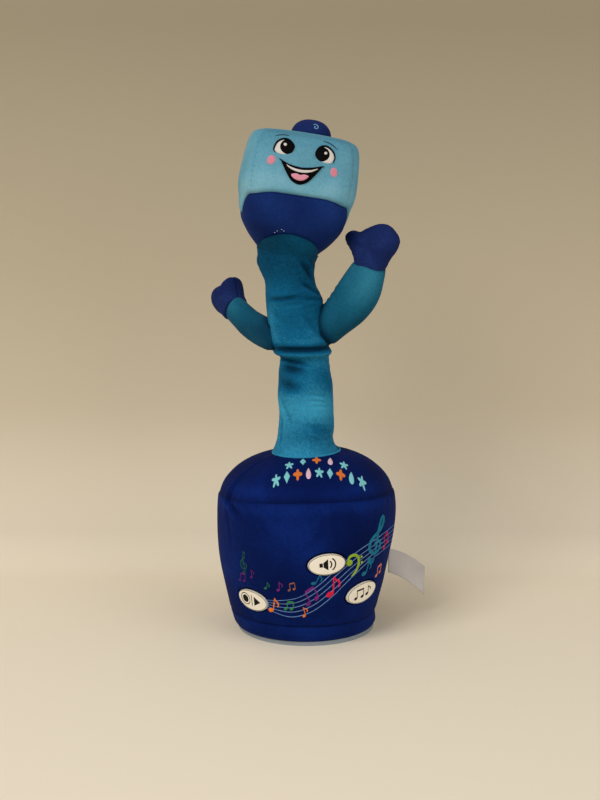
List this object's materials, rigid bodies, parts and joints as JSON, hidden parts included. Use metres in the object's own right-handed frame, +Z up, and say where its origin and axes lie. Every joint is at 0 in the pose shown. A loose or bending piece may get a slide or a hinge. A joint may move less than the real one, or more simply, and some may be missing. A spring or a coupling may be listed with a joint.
{
  "type": "dancing plush spinning-top toy",
  "caption": "Battery-driven stuffed toy: a padded plush drum, a jointed swaying stem, stuffed mitten arms and a square top-shaped head with a smiling face.",
  "frame": {"origin": "centre of the foot ring's underside", "axes": "+Z up along the drum; the face and the buttons look towards -Y; +X is on the right in the front view"},
  "size_m": [0.1657, 0.1409, 0.3659],
  "materials": {
    "abs_grey": "moulded",
    "abs_black": "moulded",
    "steel": "plain",
    "acetal": "moulded",
    "cell_jacket": "satin",
    "board": "solder mask",
    "plush_navy": "short pile",
    "plush_teal": "short pile",
    "plush_sky": "short pile",
    "felt_white": "printed",
    "padding": "filling",
    "cone_paper": "plain"
  },
  "bodies": {
    "base": {"base_tub": "abs_grey", "housing_cap": "abs_grey", "housing_screws": "steel", "battery_cells": "cell_jacket", "battery_contacts": "steel", "slide_switch": "abs_black", "circuit_board": "board", "speaker_basket": "abs_black", "speaker_cone": "cone_paper", "motor_can": "steel", "gearbox_floor": "acetal", "gearbox_cover": "acetal", "gear_axles": "steel", "spine_root": "acetal", "button_switches": "abs_black", "button_springs": "steel", "base_padding": "padding", "base_side_cover": "plush_navy", "base_top_cover": "plush_navy", "hem_band": "plush_navy", "care_tag": "felt_white", "stem_hem": "plush_teal"},
    "battery_door": {"battery_door": "abs_grey", "door_screw": "steel"},
    "switch_knob": {"switch_knob": "abs_black"},
    "motor_rotor": {"motor_pinion": "steel"},
    "first_gear": {"compound_gear_1": "acetal"},
    "second_gear": {"compound_gear_2": "acetal"},
    "drive": {"output_gear": "acetal", "drive_shaft": "steel", "drive_wire": "steel"},
    "button_left": {"plunger_left": "acetal", "oval_left": "felt_white"},
    "button_middle": {"plunger_middle": "acetal", "oval_middle": "felt_white"},
    "button_right": {"plunger_right": "acetal", "oval_right": "felt_white"},
    "spine_1": {"spine_link_1": "acetal", "sleeve_1": "plush_teal"},
    "spine_2": {"spine_link_2": "acetal", "sleeve_2": "plush_teal"},
    "spine_3": {"spine_link_3": "acetal", "sleeve_3": "plush_teal"},
    "torso": {"spine_link_4": "acetal", "sleeve_torso": "plush_teal"},
    "spine_5": {"spine_link_5": "acetal", "sleeve_5": "plush_teal"},
    "spine_6": {"spine_link_6": "acetal", "sleeve_6": "plush_teal"},
    "arm_right": {"arm_right": "plush_teal", "hand_right": "plush_navy"},
    "arm_left": {"arm_left": "plush_teal", "hand_left": "plush_navy"},
    "head": {"head_carrier": "acetal", "head_taper": "plush_navy", "head_box": "plush_sky", "head_knob": "plush_navy"}
  },
  "joints": [
    {"name": "door_hinge", "type": "hinge", "parent": "base", "child": "battery_door", "pos_m": [0, 0.02755, 0.0036], "axis": [1, 0, 0], "range_deg": [0, 80]},
    {"name": "switch_slide", "type": "slide", "parent": "base", "child": "switch_knob", "axis": [1, 0, 0], "range_m": [0, 0.0035]},
    {"name": "drive_turn", "type": "hinge", "parent": "base", "child": "drive", "pos_m": [0, 0, 0.08], "axis": [0, 0, 1], "continuous": true, "deforming": ["drive_wire"]},
    {"name": "second_gear_turn", "type": "hinge", "parent": "base", "child": "second_gear", "pos_m": [-0.015, 0, 0.08], "axis": [0, 0, 1], "continuous": true},
    {"name": "first_gear_turn", "type": "hinge", "parent": "base", "child": "first_gear", "pos_m": [-0.015, -0.015, 0.08], "axis": [0, 0, 1], "continuous": true},
    {"name": "motor_turn", "type": "hinge", "parent": "base", "child": "motor_rotor", "pos_m": [0, -0.015, 0.07], "axis": [0, 0, 1], "continuous": true},
    {"name": "press_left", "type": "slide", "parent": "base", "child": "button_left", "axis": [0.6494, 0.7604, 0], "range_m": [0, 0.0015], "stiffness_N_per_m": 600, "deforming": ["button_springs"]},
    {"name": "press_middle", "type": "slide", "parent": "base", "child": "button_middle", "axis": [-0.225, 0.9744, 0], "range_m": [0, 0.0015], "stiffness_N_per_m": 600, "deforming": ["button_springs"]},
    {"name": "press_right", "type": "slide", "parent": "base", "child": "button_right", "axis": [-0.6561, 0.7547, 0], "range_m": [0, 0.0015], "stiffness_N_per_m": 600, "deforming": ["button_springs"]},
    {"name": "sway_1", "type": "hinge", "parent": "base", "child": "spine_1", "pos_m": [0, 0, 0.128], "axis": [0, 1, 0], "range_deg": [-8, 8], "stiffness_Nm_per_rad": 1.5, "deforming": ["drive_wire"]},
    {"name": "nod_1", "type": "hinge", "parent": "spine_1", "child": "spine_2", "pos_m": [0, 0, 0.148], "axis": [1, 0, 0], "range_deg": [-8, 8], "stiffness_Nm_per_rad": 1.5},
    {"name": "sway_2", "type": "hinge", "parent": "spine_2", "child": "spine_3", "pos_m": [-0.00035, 0, 0.168], "axis": [0, 1, 0], "range_deg": [-8, 8], "stiffness_Nm_per_rad": 1.5},
    {"name": "nod_2", "type": "hinge", "parent": "spine_3", "child": "torso", "pos_m": [-0.0014, 0, 0.18797], "axis": [1, 0, 0], "range_deg": [-8, 8], "stiffness_Nm_per_rad": 1.5},
    {"name": "sway_3", "type": "hinge", "parent": "torso", "child": "spine_5", "pos_m": [-0.00731, 0, 0.22753], "axis": [0, 1, 0], "range_deg": [-2, 2], "stiffness_Nm_per_rad": 1.5},
    {"name": "nod_3", "type": "hinge", "parent": "spine_5", "child": "spine_6", "pos_m": [-0.01181, 0, 0.24702], "axis": [1, 0, 0], "range_deg": [-2, 2], "stiffness_Nm_per_rad": 1.5},
    {"name": "sway_4", "type": "hinge", "parent": "spine_6", "child": "head", "pos_m": [-0.01494, 0, 0.26677], "axis": [0, 1, 0], "range_deg": [-2, 2], "stiffness_Nm_per_rad": 1.5},
    {"name": "right_shoulder", "type": "hinge", "parent": "torso", "child": "arm_right", "pos_m": [0.0206, -0.00379, 0.22301], "axis": [0.3746, 0.9272, 0], "range_deg": [0, 25], "stiffness_Nm_per_rad": 0.06},
    {"name": "left_shoulder", "type": "hinge", "parent": "torso", "child": "arm_left", "pos_m": [-0.03132, 0.0093, 0.21525], "axis": [-0.866, -0.5, 0], "range_deg": [-15, 15], "stiffness_Nm_per_rad": 0.06}
  ],
  "couplings": [
    {"joint": "second_gear_turn", "follows": "drive_turn", "ratio": -4},
    {"joint": "first_gear_turn", "follows": "drive_turn", "ratio": 16},
    {"joint": "motor_turn", "follows": "drive_turn", "ratio": -64},
    {"joint": "sway_2", "follows": "sway_1", "ratio": 1},
    {"joint": "sway_3", "follows": "sway_1", "ratio": 0.25},
    {"joint": "sway_4", "follows": "sway_1", "ratio": 0.25},
    {"joint": "nod_2", "follows": "nod_1", "ratio": 1},
    {"joint": "nod_3", "follows": "nod_1", "ratio": 0.25}
  ]
}
